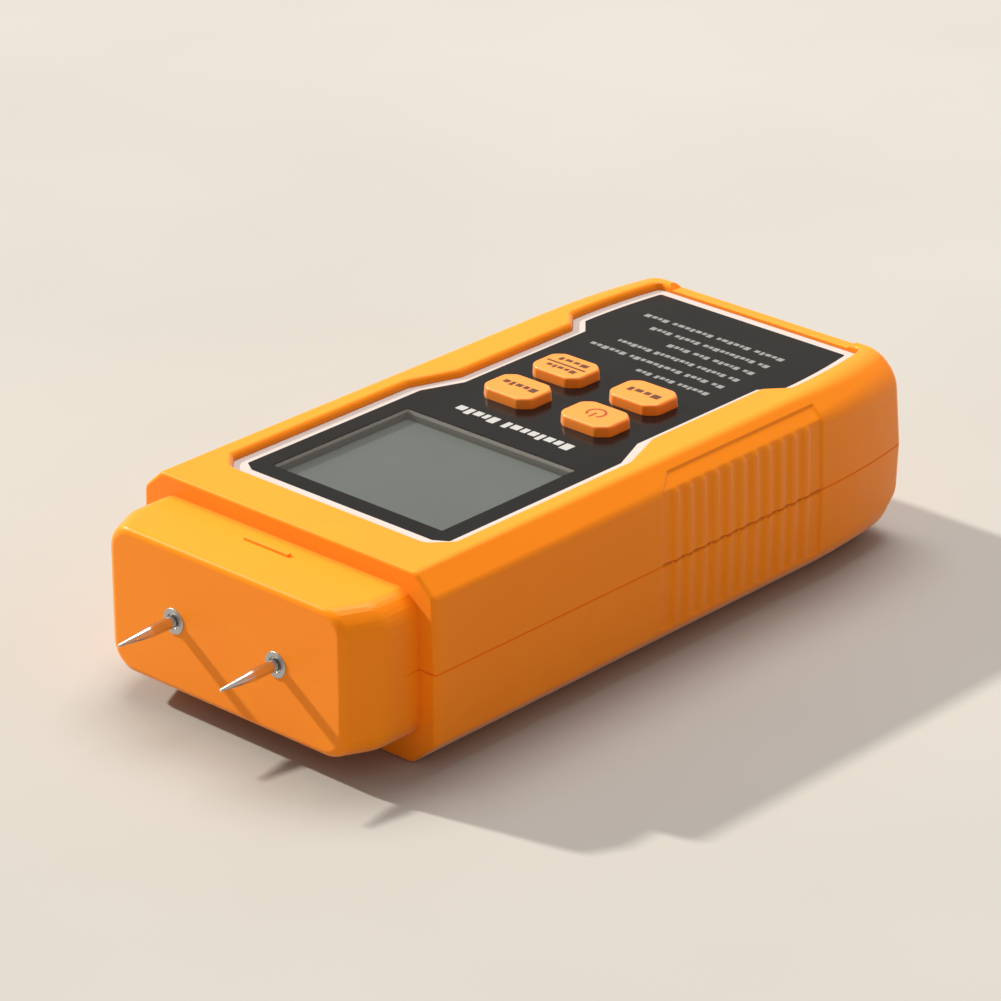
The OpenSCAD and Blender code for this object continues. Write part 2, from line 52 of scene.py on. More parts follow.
# the body: its box, the height of the parting line, and its cross-section from the back up to the face
BODY_HALF, BODY_H = 35.0, 36.0
FRONT_Y, REAR_Y, SPLIT_Z = -64.5, 65.0, 18.4
BACK_HALF, TOP_HALF, BEVEL_Z, SHOULDER_Z, DRAFT = 29.0, 30.3, 5.0, 32.2, 0.5
TAPER_Y, TAPER_R, CORNER_R = 38.7, 125.0, 3.0
REAR_BEVEL = 5.6                  # how far the lower rear edge is cut back at the bottom
REAR_SPAN = 9.0                   # the last stretch of the rear end, where its edges are rounded
FRONT_ROUND, TOP_REAR_ROUND, RIM_ROUND = 0.8, 1.4, 1.0

# the nose that holds the pins, and the low ledge across its top
NOSE_Y, NOSE_SLANT_Y, NOSE_HALF, NOSE_FRONT_HALF = -79.3, -72.4, 31.2, 28.2
NOSE_LOW, NOSE_TOP, NOSE_R, NOSE_ROUND = 4.9, 32.4, 5.0, 1.3
NOSE_BLEND = 1.4                  # half the stretch over which its side turns into the slant
LEDGE_HALF, LEDGE_Y, LEDGE_TOP = 5.4, (-69.1, -68.2), 32.95

# the face: the label's top, the plate's top, the display's window and the four keys
FACE_Z, PLATE_Z = 34.5, 33.7
WINDOW, WINDOW_Y = (40.4, 34.0), -30.1
KEY_SIZE, KEY_CORNER, KEY_ROUND = (11.8, 8.9), 2.0, 1.6
KEY_X, KEY_ROWS = 9.3, (4.4, 17.5)
KEY_TOP, KEY_FLANGE, KEY_EDGE = 36.47, (30.9, 31.9), 0.55
PRINT_SINK, PRINT_RISE = 0.01, 0.02
RECESS_BEND = (38.4, 22.8)        # where the recess starts to follow the rear curve, and for how long

# the finger grips: their ends, their bottom and their top at the front and the rear end
GRIP_Y, GRIP_Z, GRIP_CUT, GRIP_FADE = (-6.2, 37.2), (6.2, 31.8, 33.9), 0.35, 0.7
GRIP_CORNER = 3.8                 # the length of the sloping corner at the front of a grip's top
RIB_FIRST, RIB_PITCH, RIB_COUNT, RIB_TOP = -2.8, 3.6, 11, 32.4
GRIP_MARGIN, GRIP_STEP, GRIP_STEPS, OUTSIDE = 0.9, 0.305, 149, 37.0
SEAM_REACH, SEAM_DEPTH, SEAM_SLOPE, SEAM_IN_GRIP = 0.2, 0.28, 1.33, 0.9

# the pins and their collars
PIN_X, PIN_Z, PIN_R, COLLAR_R, COLLAR_ROUND = 12.25, 18.4, 1.1, 2.4, 0.14
COLLAR_FRONT, COLLAR_SIDES, NECK_R, SOCKET_Y = -79.5, 64, 1.9, -76.6

BATTERY_BAND_Y = 22.5


# ---------------------------------------------------------------- mesh helpers

def new_object(name, verts, faces):
    mesh = bpy.data.meshes.new(name)
    mesh.from_pydata([Vector(v) * MM for v in verts], [], faces)
    mesh.update()
    obj = bpy.data.objects.new(name, mesh)
    scene.collection.objects.link(obj)
    bm = bmesh.new()
    bm.from_mesh(mesh)
    bmesh.ops.recalc_face_normals(bm, faces=bm.faces)
    bm.to_mesh(mesh)
    bm.free()
    return obj


def loft(name, rings):
    """A closed solid through rings with the same number of points each."""
    n = len(rings[0])
    verts = [p for ring in rings for p in ring]
    faces = []
    for k in range(len(rings) - 1):
        for s in range(n):
            t = (s + 1) % n
            faces.append([k * n + s, k * n + t, (k + 1) * n + t, (k + 1) * n + s])
    faces.append(list(range(n - 1, -1, -1)))
    faces.append([(len(rings) - 1) * n + s for s in range(n)])
    return new_object(name, verts, faces)


def prism_z(name, outline, z0, z1):
    return loft(name, [[(x, y, z) for x, y in outline] for z in (z0, z1)])


def combine(obj, tool, operation):
    """A boolean of two closed meshes; the tool is used up."""
    cut = obj.modifiers.new("cut", "BOOLEAN")
    cut.solver, cut.operation, cut.object = "MANIFOLD", operation, tool
    graph = bpy.context.evaluated_depsgraph_get()
    mesh = bpy.data.meshes.new_from_object(obj.evaluated_get(graph))
    obj.modifiers.clear()
    old, obj.data = obj.data, mesh
    bpy.data.meshes.remove(old)
    bpy.data.meshes.remove(tool.data)
    return obj


def welded(obj, angle=0.0):
    """Joins points that fall together, then merges faces that meet at less than angle degrees."""
    bm = bmesh.new()
    bm.from_mesh(obj.data)
    bmesh.ops.remove_doubles(bm, verts=bm.verts, dist=0.002 * MM)
    if angle:
        bmesh.ops.dissolve_limit(bm, angle_limit=math.radians(angle), verts=bm.verts, edges=bm.edges)
    bm.to_mesh(obj.data)
    bm.free()


def round_edges(obj, offset, segments, least, where=None):
    """Bevels the edges whose faces meet at more than least degrees, all or only those at one place."""
    bm = bmesh.new()
    bm.from_mesh(obj.data)
    edges = [
        e for e in bm.edges
        if len(e.link_faces) == 2 and math.radians(least) < e.calc_face_angle(0) < math.pi
        and (where is None or where((e.verts[0].co + e.verts[1].co) / 2 / MM))
    ]
    bmesh.ops.bevel(bm, geom=edges, offset=offset * MM, segments=segments, profile=0.5,
                    affect="EDGES", clamp_overlap=True, loop_slide=True)
    bm.to_mesh(obj.data)
    bm.free()


def smooth(obj, angle):
    """Shades the object smoothly, apart from edges sharper than angle degrees."""
    for p in obj.data.polygons:
        p.use_smooth = True
    obj.data.set_sharp_from_angle(angle=math.radians(angle))
    weighted = obj.modifiers.new("normals", "WEIGHTED_NORMAL")
    weighted.keep_sharp, weighted.weight = True, 50


def unit(v):
    n = math.hypot(*v)
    return (v[0] / n, v[1] / n)


def clamped(value):
    return max(0.0, min(1.0, value))


def ease(value):
    t = clamped(value)
    return t * t * (3 - 2 * t)


def moved_outline(points, inward):
    """The closed outline, anticlockwise, moved inward by that much, with mitred corners."""
    out = []
    n = len(points)
    for k in range(n):
        a, b, c = points[k - 1], points[k], points[(k + 1) % n]
        d, e = unit((b[0] - a[0], b[1] - a[1])), unit((c[0] - b[0], c[1] - b[1]))
        m, q = (-d[1], d[0]), (-e[1], e[0])
        f = inward / (1 + m[0] * q[0] + m[1] * q[1])
        out.append((b[0] + (m[0] + q[0]) * f, b[1] + (m[1] + q[1]) * f))
    return out


def rounded(points, radius, segments=5):
    """The closed outline with an arc at each corner."""
    out = []
    n = len(points)
    for k in range(n):
        a, b, c = points[k - 1], points[k], points[(k + 1) % n]
        d, e = unit((a[0] - b[0], a[1] - b[1])), unit((c[0] - b[0], c[1] - b[1]))
        turn = math.pi - math.acos(max(-1, min(1, d[0] * e[0] + d[1] * e[1])))
        if turn < math.radians(6):
            out.append(b)
            continue
        reach = radius * math.tan(turn / 2)
        p = (b[0] + d[0] * reach, b[1] + d[1] * reach)
        q = (b[0] + e[0] * reach, b[1] + e[1] * reach)
        mid = unit((d[0] + e[0], d[1] + e[1]))
        far = radius / math.cos(turn / 2)
        centre = (b[0] + mid[0] * far, b[1] + mid[1] * far)
        start = math.atan2(p[1] - centre[1], p[0] - centre[0])
        sweep = math.atan2(q[1] - centre[1], q[0] - centre[0]) - start
        sweep = (sweep + math.pi) % (2 * math.pi) - math.pi
        out += [(centre[0] + radius * math.cos(start + sweep * s / segments),
                 centre[1] + radius * math.sin(start + sweep * s / segments)) for s in range(segments + 1)]
    return out


def both_sides(side):
    """The whole outline from its right half, listed from the front to the rear."""
    return side + [(-x, y) for x, y in reversed(side)]


def side_at(x, y):
    """Where a place x of the straight cross-section lies at y, behind the start of the rear curve."""
    if y <= TAPER_Y:
        return x
    return BODY_HALF - TAPER_R + math.sqrt((TAPER_R - BODY_HALF + x) ** 2 - (y - TAPER_Y) ** 2)


def rear_corner():
    """The centre of the plan's corner arc at the rear, and the angle at which the side runs into it."""
    reach, along = TAPER_R - CORNER_R, REAR_Y - CORNER_R - TAPER_Y
    turn = math.asin(along / reach)
    return BODY_HALF - TAPER_R + reach * math.cos(turn), TAPER_Y + along, turn


# ---------------------------------------------------------------- rounded outer form of the case

def softness(y):
    """The radius of the long edges: tight at the front, wide where the case tapers at the rear."""
    return 1.9 + 1.1 * clamped((y + 50) / 60) + 3.2 * clamped((y - 34) / 20)


def body_section(radius):
    """The straight cross-section with softened shoulders and lower edges."""
    right = [(BACK_HALF, 0), (BODY_HALF - 0.2, BEVEL_Z), (BODY_HALF, SPLIT_Z),
             (BODY_HALF - DRAFT, SHOULDER_Z), (TOP_HALF, BODY_H)]
    sharp = right + [(-x, z) for x, z in reversed(right)]
    return moved_outline(rounded(sharp, radius, 6), -PROUD)


def rear_limits():
    """For places along the rear end: how far the plan's corner, the top edge and the lower bevel come in."""
    cx, cy, turn = rear_corner()
    bevel = rounded([(40, 30), (40, 0), (REAR_Y - REAR_BEVEL, 0), (REAR_Y, BEVEL_Z), (REAR_Y, 30)], 3.0, 6)
    bevel = [q for q in bevel if 45 < q[0] <= REAR_Y and q[1] < 12]
    steps = 24
    found = []
    for s in range(steps + 1):
        y = REAR_Y - REAR_SPAN * (1 - math.sin(math.pi / 2 * s / steps))
        side = corner = side_at(BODY_HALF, y)
        if y > cy + CORNER_R * math.sin(turn):
            corner = cx + math.sqrt(max(CORNER_R ** 2 - (y - cy) ** 2, 0))
        top = BODY_H
        over = y - (REAR_Y - TOP_REAR_ROUND)
        if over > 0:
            top -= TOP_REAR_ROUND - math.sqrt(max(TOP_REAR_ROUND ** 2 - over ** 2, 0))
        low = 0.0
        for (y0, z0), (y1, z1) in zip(bevel, bevel[1:]):
            if y0 <= y <= y1 and y1 > y0:
                low = z0 + (z1 - z0) * (y - y0) / (y1 - y0)
        found.append((y, side - corner, top, low))
    return found


def front_round():
    """How far the body's front edge is rounded away, and how far behind the front that is."""
    turns = [math.pi / 2 * s / 5 for s in range(6)]
    return [(FRONT_ROUND * (1 - math.sin(t)), FRONT_ROUND * (1 - math.cos(t))) for t in turns]


def body_form(name):
    """The body without its nose: a rounded front edge, long straight sides and a curved rear."""
    rings = []
    for inset, behind in front_round():
        y = FRONT_Y - PROUD + behind
        rings.append([(x, y, z) for x, z in moved_outline(body_section(softness(y)), inset)])
    for y in [-50, 10, 34] + [TAPER_Y + 1.3 * k for k in range(13)]:
        rings.append([(math.copysign(side_at(abs(x), y), x), y, z) for x, z in body_section(softness(y))])
    for y, corner, top, low in rear_limits():
        ring = []
        for x, z in body_section(softness(y)):
            share = abs(z - SPLIT_Z) / (BODY_H - SPLIT_Z if z > SPLIT_Z else SPLIT_Z)
            edge = top if z > SPLIT_Z else low
            lean = 1.2 * share if z > SPLIT_Z else 0.4 * share
            back = y - lean * clamped((y - 52) / 10)
            width = max(side_at(abs(x), y) - corner * min(1.0, abs(x) / 25), 0)
            ring.append((math.copysign(width, x), back + PROUD, SPLIT_Z + (edge - SPLIT_Z) * share
                         + math.copysign(PROUD, z - SPLIT_Z)))
        rings.append(ring)
    return loft(name, rings)


def nose_half_at(y):
    """The nose's half width: straight at the rear, then a soft bend into the slant toward its front."""
    slope = (NOSE_HALF - NOSE_FRONT_HALF) / (NOSE_SLANT_Y - (NOSE_Y + 0.7))
    if y >= NOSE_SLANT_Y + NOSE_BLEND:
        return NOSE_HALF
    if y <= NOSE_SLANT_Y - NOSE_BLEND:
        return NOSE_HALF - slope * (NOSE_SLANT_Y - y)
    return NOSE_HALF - slope * (NOSE_SLANT_Y + NOSE_BLEND - y) ** 2 / (4 * NOSE_BLEND)


def nose_stations():
    """Places along the nose with its half width there and how far its edge is rounded away."""
    found = []
    for s in range(7):
        turn = math.pi / 2 * s / 6
        y = NOSE_Y + NOSE_ROUND * (1 - math.cos(turn))
        found.append((y, nose_half_at(y), NOSE_ROUND * (1 - math.sin(turn))))
    places = (-76, -74.5, -73.8, -73.3, -72.8, -72.4, -72, -71.5, -71, -68, -61)
    return found + [(y, nose_half_at(y), 0.0) for y in places]


def nose_form(name):
    """The nose with its four rounded long edges and the low ledge on top."""
    rings = []
    for k, (y, half, inset) in enumerate(nose_stations()):
        r = NOSE_R - inset
        x, z0, z1 = half - inset + PROUD, NOSE_LOW + inset - PROUD, NOSE_TOP - inset + PROUD
        corners = ((x - r, z1 - r, 0), (r - x, z1 - r, 90), (r - x, z0 + r, 180), (x - r, z0 + r, 270))
        ring = []
        for cx, cz, start in corners:
            for s in range(13):
                a = math.radians(start + 7.5 * s)
                ring.append((cx + r * math.cos(a), y - (PROUD if k == 0 else 0), cz + r * math.sin(a)))
        rings.append(ring)
    wide, under = LEDGE_HALF + PROUD, NOSE_TOP - 2
    ledge = loft("ledge", [[(wide, y, LEDGE_TOP), (-wide, y, LEDGE_TOP), (-wide, y, under), (wide, y, under)]
                           for y in (LEDGE_Y[0] - PROUD, LEDGE_Y[1] + PROUD)])
    return combine(loft(name, rings), ledge, "UNION")


def seam_outline():
    """The plan of the nose and the body at the parting line."""
    side = [(half - inset, y) for y, half, inset in nose_stations()[:-1]]
    side += [(NOSE_HALF, FRONT_Y)]
    side += [(BODY_HALF - inset, FRONT_Y + behind) for inset, behind in front_round()]
    side += [(BODY_HALF, y) for y in (GRIP_Y[0] - 0.5, GRIP_Y[0], GRIP_Y[1], GRIP_Y[1] + 0.5)]
    side += [(side_at(BODY_HALF, TAPER_Y + 1.5 * k), TAPER_Y + 1.5 * k) for k in range(16)]
    cx, cy, turn = rear_corner()
    side += [(cx + CORNER_R * math.cos(a), cy + CORNER_R * math.sin(a))
             for a in (turn + (math.pi / 2 - turn) * s / 8 for s in range(9))]
    return both_sides(side)


def seam_cutter():
    """Where the shells meet: a shallow V round the body, a hairline round the nose, a slot across a grip."""
    slab = prism_z("seam", [(-45, -90), (45, -90), (45, 75), (-45, 75)],
                   SPLIT_Z - SEAM_REACH, SPLIT_Z + SEAM_REACH)
    outline = seam_outline()
    rings = []
    for z in (-0.3, -0.14, -0.05, 0.0, 0.05, 0.14, 0.3):
        groove = moved_outline(outline, SEAM_DEPTH - SEAM_SLOPE * abs(z))
        faint = moved_outline(outline, 0.02 - 0.5 * abs(z))
        slot = moved_outline(outline, SEAM_IN_GRIP if abs(z) < 0.1 else -0.12)
        ring = []
        for g, f, s in zip(groove, faint, slot):
            if g[1] < FRONT_Y + 0.1 and abs(g[0]) < NOSE_HALF + 1:
                g = f
            elif GRIP_Y[0] - 0.1 < g[1] < GRIP_Y[1] + 0.1:
                g = s
            ring.append((g[0], g[1], SPLIT_Z + z))
        rings.append(ring)
    return combine(slab, loft("core", rings), "DIFFERENCE")


def recess_outline():
    """The plan of the recess for the face, which is narrower beside the keys."""
    side = [(23.1, -54.2), (26.5, -50.6), (26.5, -6.2), (22.8, 3.9), (22.7, 34.3)]
    for k in range(7):
        y = RECESS_BEND[0] + RECESS_BEND[1] * k / 6
        side.append((26.3 - (BODY_HALF - side_at(BODY_HALF, y)), y))
    return rounded(both_sides(side), 1.7)


def rim_cutter():
    """Rounds the inner edge of the rim that stands round the face."""
    outline = recess_outline()
    turns = [math.radians(a) for a in (20, 35, 50, 65, 80)]
    steps = [(-0.3, BODY_H - 1.65)]
    steps += [(RIM_ROUND * (1 - math.cos(t)), BODY_H - RIM_ROUND * (1 - math.sin(t))) for t in turns]
    steps += [(RIM_ROUND + 0.02, BODY_H + 0.02), (RIM_ROUND + 0.02, BODY_H + 1)]
    return loft("rim", [[(x, y, z) for x, y in moved_outline(outline, -out)] for out, z in steps])


def grip_depth(y, z):
    """How deep the side is let in at a place of the finger grip, between its upright ribs."""
    lean = (GRIP_Z[2] - GRIP_Z[1]) / GRIP_CORNER
    corner = (GRIP_Z[1] + lean * (y - GRIP_Y[0]) - z) / math.hypot(1, lean)
    inside = min(y - GRIP_Y[0], GRIP_Y[1] - y, z - GRIP_Z[0], GRIP_Z[2] - z, corner)
    panel = ease((inside + GRIP_FADE) / GRIP_FADE)
    nearest = min(max(round((y - RIB_FIRST) / RIB_PITCH), 0), RIB_COUNT - 1)
    across = abs(y - RIB_FIRST - nearest * RIB_PITCH)
    rib = (1 - ease((across - 0.5) / 0.92)) * (1 - ease((z - RIB_TOP + 1.3 + across * 0.5) / 1.3))
    steep = 1 + 0.5 * clamped((z - (SHOULDER_Z - 0.3)) / 0.3)
    return panel * (GRIP_CUT * steep * (1 - rib) + 0.08) - 0.05


def side_plane(z):
    """The half width of the straight cross-section at a height."""
    if z < SPLIT_Z:
        return BODY_HALF - 0.2 + 0.2 * (z - BEVEL_Z) / (SPLIT_Z - BEVEL_Z)
    if z < SHOULDER_Z:
        return BODY_HALF - DRAFT * (z - SPLIT_Z) / (SHOULDER_Z - SPLIT_Z)
    return BODY_HALF - DRAFT - (BODY_HALF - DRAFT - TOP_HALF) * (z - SHOULDER_Z) / (BODY_H - SHOULDER_Z)


def grip_cutter(side):
    """A soft corrugated solid that cuts one finger grip."""
    heights = [5.3 + 0.18 * k for k in range(8)]           # fine steps where the panel starts
    heights += [6.74 + 1.18 * k for k in range(1, 20)]     # wide ones along the ribs
    heights += [29.8 + 0.16 * k for k in range(31)]        # fine ones where the ribs and the panel end
    rings = []
    for k in range(GRIP_STEPS):
        y = GRIP_Y[0] - GRIP_MARGIN + GRIP_STEP * k
        ring = [(side * (side_plane(z) - grip_depth(y, z)), y, z) for z in heights]
        rings.append(ring + [(side * OUTSIDE, y, heights[-1]), (side * OUTSIDE, y, heights[0])])
    return loft("grip", rings)


def at_ledge(p):
    """On the low ledge across the top of the nose."""
    return p.z > NOSE_TOP + 0.1 and p.y < FRONT_Y - 2


def at_rear_bar(p):
    """On the lower middle stretch of the rear rim."""
    return p.y > 60 and p.z > 34.9 and abs(p.x) < 23.6


def case_form():
    """The whole rounded outside of the case, with its grips, seam and rim."""
    form = combine(body_form("form"), nose_form("nose"), "UNION")
    for side in (-1, 1):
        combine(form, grip_cutter(side), "DIFFERENCE")
    combine(form, seam_cutter(), "DIFFERENCE")
    return combine(form, rim_cutter(), "DIFFERENCE")


def case_piece(name, node):
    """What one CAD shell and the rounded form have in common."""
    obj = bpy.data.objects.new(name, nodes[node].data.copy())
    scene.collection.objects.link(obj)
    obj.data.materials.clear()
    welded(obj, angle=0.05)
    combine(obj, case_form(), "INTERSECT")
    welded(obj)
    return obj


# ---------------------------------------------------------------- materials

class Nodes:
    """A short way to write one material's node tree."""

    def __init__(self, name):
        self.material = bpy.data.materials.new(name)
        self.material.use_nodes = True
        self.tree = self.material.node_tree
        self.tree.nodes.clear()
        self.out = self.tree.nodes.new("ShaderNodeOutputMaterial")
        self.place = self.add("ShaderNodeTexCoord").outputs["Object"]

    def add(self, kind, inputs=None, **fields):
        node = self.tree.nodes.new(kind)
        for key, value in fields.items():
            setattr(node, key, value)
        for key, value in (inputs or {}).items():
            if isinstance(value, bpy.types.NodeSocket):
                self.tree.links.new(value, node.inputs[key])
            else:
                node.inputs[key].default_value = value
        return node

    def noise(self, scale, detail=3.0, rough=0.55, stretch=(1, 1, 1)):
        place = self.add("ShaderNodeMapping", {"Vector": self.place, "Scale": stretch}).outputs[0]
        return self.add("ShaderNodeTexNoise", {"Vector": place, "Scale": scale, "Detail": detail,
                                               "Roughness": rough}).outputs["Fac"]

    def ramp(self, value, low, high, to_low, to_high):
        inputs = {"Value": value, 1: low, 2: high, 3: to_low, 4: to_high}
        return self.add("ShaderNodeMapRange", inputs).outputs[0]

    def mix(self, factor, a, b):
        node = self.add("ShaderNodeMix", data_type="RGBA")
        for key, value in ((0, factor), (6, a), (7, b)):
            if isinstance(value, bpy.types.NodeSocket):
                self.tree.links.new(value, node.inputs[key])
            else:
                node.inputs[key].default_value = value
        return node.outputs[2]

    def math(self, operation, a, b=0.0):
        return self.add("ShaderNodeMath", {0: a, 1: b}, operation=operation).outputs[0]

    def near(self, value, target, width):
        """1 where the value is less than width from the target, else 0."""
        return self.math("LESS_THAN", self.math("ABSOLUTE", self.math("SUBTRACT", value, target)), width)

    def bump(self, height, distance, strength=1.0):
        inputs = {"Height": height, "Distance": distance, "Strength": strength}
        return self.add("ShaderNodeBump", inputs).outputs[0]

    def principled(self, colour, roughness, normal=None, **plain):
        """Ends the tree in one shader; plain values go on its own sockets."""
        inputs = {"Base Color": colour, "Roughness": roughness}
        if normal:
            inputs["Normal"] = normal
        inputs.update({key.replace("_", " "): value for key, value in plain.items()})
        shader = self.add("ShaderNodeBsdfPrincipled", inputs)
        self.tree.links.new(shader.outputs[0], self.out.inputs["Surface"])
        return self.material


def srgb(r, g, b, a=1.0):
    def linear(c):
        c /= 255
        return c / 12.92 if c <= 0.04045 else ((c + 0.055) / 1.055) ** 2.4
    return (linear(r), linear(g), linear(b), a)


BLOOM = (1, 0.84, 0.72, 1)        # the tint of the soft bloom on the orange plastic


def moulded(name, colour, deeper, roughness, grain=0.00001, wear=None, **plain):
    """Moulded plastic: fine spark-eroded grain, slow flow marks and a few rubbed, glossier places."""
    m = Nodes(name)
    cloud = m.noise(22, 4)
    fine = m.noise(2600, 2, 0.5)
    hand = m.noise(85, 5, 0.65)
    tint = m.mix(m.ramp(cloud, 0.35, 0.7, 0.0, 1.0), colour, deeper)
    rubbed = m.ramp(m.noise(38, 6, 0.7), 0.56, 0.68, 0.0, 1.0)
    if wear:
        tint = m.mix(m.math("MULTIPLY", rubbed, 0.35), tint, wear)
    gloss = m.math("ADD", m.ramp(hand, 0.35, 0.7, roughness - 0.035, roughness + 0.05),
                   m.math("MULTIPLY", rubbed, -0.05))
    normal = m.bump(fine, grain, 0.6)
    return m.principled(tint, gloss, normal, **plain)


def orange():
    return moulded("orange_moulding", srgb(255, 143, 9), srgb(254, 138, 7), 0.36, wear=srgb(255, 151, 18),
                   Specular_IOR_Level=0.14, Sheen_Weight=0.48, Sheen_Roughness=0.36, Sheen_Tint=BLOOM)


def key_orange():
    return moulded("key_moulding", srgb(248, 138, 24), srgb(244, 132, 18), 0.4, grain=0.000006,
                   wear=srgb(255, 164, 44), Sheen_Weight=0.5, Sheen_Roughness=0.4, Sheen_Tint=BLOOM)


def printed_plate():
    """White plate; the side walls of its window are painted dark as painted shade, and the rear side of the
    window is painted in thin dark and pale stripes, the dark ones painted shade.
    """
    m = Nodes("white_print")
    place = m.add("ShaderNodeSeparateXYZ", {"Vector": m.place})
    side = m.math("ABSOLUTE", place.outputs[0])
    under = m.math("LESS_THAN", place.outputs[2], (PLATE_Z - 0.02) * MM)
    gap, reach, stripe_rate = 0.05, 0.03 * MM, 15700.0
    # painted shade: the side walls of the window opening are painted dark
    painted_wall_shade = m.near(side, (WINDOW[0] / 2 + gap) * MM, reach)
    painted_wall_shade = m.math("MULTIPLY", under, painted_wall_shade)
    soil = m.noise(90, 5, 0.6)
    white = m.mix(m.ramp(soil, 0.4, 0.75, 0, 1), srgb(190, 181, 179), srgb(182, 173, 171))
    white = m.mix(painted_wall_shade, white, srgb(60, 58, 56))
    # the rear side of the window opening gets thin dark and pale stripes; the dark stripes are painted shade
    behind = m.near(place.outputs[1], (WINDOW_Y + WINDOW[1] / 2 + gap) * MM, reach)
    behind = m.math("MULTIPLY", under, behind)
    line = m.math("GREATER_THAN", m.math("SINE", m.math("MULTIPLY", place.outputs[2], stripe_rate)), 0.25)
    stripes_with_painted_shade = m.mix(line, srgb(70, 68, 66), srgb(186, 182, 178))
    return m.principled(m.mix(behind, white, stripes_with_painted_shade), m.ramp(soil, 0.35, 0.7, 0.38, 0.5),
                        m.bump(m.noise(2200, 2, 0.5), 0.000003, 0.6))


def glossy_label():
    m = Nodes("label_film")
    smear = m.noise(60, 5, 0.6, (1, 0.6, 1))
    peel = m.noise(420, 2, 0.5)
    tint = m.mix(m.ramp(smear, 0.4, 0.7, 0, 1), srgb(9, 10, 11), srgb(14, 15, 16))
    return m.principled(tint, m.ramp(smear, 0.35, 0.7, 0.15, 0.22), m.bump(peel, 0.000004, 0.5),
                        Specular_IOR_Level=0.21)


def print_ink(name, colour):
    m = Nodes(name)
    speck = m.noise(1800, 3, 0.6)
    thin = (colour[0] * 0.6, colour[1] * 0.6, colour[2] * 0.6, 1)
    return m.principled(m.mix(m.ramp(speck, 0.4, 0.75, 0, 0.25), colour, thin), 0.5)


def window_pane():
    """Clear acrylic: what lies behind it shows unbent, with a surface gloss over it."""
    m = Nodes("clear_pane")
    dust = m.noise(500, 3, 0.6)
    dull = m.ramp(dust, 0.4, 0.7, 0.02, 0.06)
    see = m.add("ShaderNodeBsdfTransparent", {"Color": (0.93, 0.95, 0.94, 1)})
    gloss = m.add("ShaderNodeBsdfGlossy", {"Color": (1, 1, 1, 1), "Roughness": dull})
    facing = m.add("ShaderNodeFresnel", {"IOR": 1.46})
    outer = m.math("SUBTRACT", 1.0, m.add("ShaderNodeNewGeometry").outputs["Backfacing"])
    share = m.math("MULTIPLY", facing.outputs[0], outer)
    mixed = m.add("ShaderNodeMixShader", {0: share, 1: see.outputs[0], 2: gloss.outputs[0]})
    m.tree.links.new(mixed.outputs[0], m.out.inputs["Surface"])
    return m.material


def liquid_crystal():
    m = Nodes("display_polariser")
    cloud = m.noise(30, 3)
    fine = m.noise(3000, 2)
    tint = m.mix(m.ramp(cloud, 0.35, 0.7, 0, 1), srgb(92, 96, 96), srgb(86, 90, 90))
    return m.principled(tint, m.ramp(cloud, 0.3, 0.7, 0.3, 0.36), m.bump(fine, 0.000002, 0.4))


def metal(name, colour, roughness, grain=(1, 1, 1), depth=0.000003):
    m = Nodes(name)
    lines = m.noise(900, 3, 0.6, grain)
    stain = m.noise(160, 4, 0.6)
    dull = (colour[0] * 0.78, colour[1] * 0.76, colour[2] * 0.74, 1)
    tint = m.mix(m.ramp(stain, 0.45, 0.75, 0, 0.6), colour, dull)
    return m.principled(tint, m.ramp(lines, 0.3, 0.7, roughness * 0.7, roughness * 1.4),
                        m.bump(lines, depth, 0.5), Metallic=1.0)


def plastic(name, colour, roughness):
    """Plain moulded plastic of one colour, a little deeper in places."""
    return moulded(name, srgb(*colour), srgb(*[c * 0.88 for c in colour]), roughness, grain=0.000008)


def fabricated_board():
    """Green solder mask over a fine weave, with paler tracks."""
    m = Nodes("solder_mask")
    weave = m.add("ShaderNodeTexChecker", {"Vector": m.place, "Scale": 2200.0, "Color1": srgb(14, 92, 52),
                                           "Color2": srgb(12, 84, 47)}).outputs[0]
    tracks = m.add("ShaderNodeTexBrick", {"Vector": m.place, "Scale": 260.0, "Mortar Size": 0.06,
                                          "Color1": srgb(14, 92, 52), "Color2": srgb(16, 98, 56),
                                          "Mortar": srgb(38, 128, 78)}).outputs[0]
    cloud = m.noise(45, 3)
    tint = m.mix(m.ramp(cloud, 0.3, 0.7, 0.3, 0.7), weave, tracks)
    return m.principled(tint, m.ramp(cloud, 0.3, 0.7, 0.28, 0.4))


def foam():
    m = Nodes("open_foam")
    cells = m.add("ShaderNodeTexVoronoi", {"Vector": m.place, "Scale": 1500.0}).outputs["Distance"]
    tint = m.mix(m.ramp(cells, 0.1, 0.6, 0, 1), srgb(38, 38, 41), srgb(66, 66, 70))
    return m.principled(tint, m.ramp(cells, 0, 1, 0.85, 0.95), m.bump(cells, 0.0002))


def battery_can():
    """Plain lacquered jacket with a wide copper band at the terminal end."""
    m = Nodes("battery_jacket")
    y = m.add("ShaderNodeSeparateXYZ", {"Vector": m.place}).outputs[1]
    band = m.math("LESS_THAN", y, BATTERY_BAND_Y * MM)
    scuff = m.noise(70, 5, 0.65)
    dark = m.mix(m.ramp(scuff, 0.35, 0.7, 0, 1), srgb(38, 42, 50), srgb(48, 52, 60))
    return m.principled(m.mix(band, dark, srgb(190, 130, 70)), m.ramp(scuff, 0.3, 0.75, 0.28, 0.42),
                        Metallic=0.4)


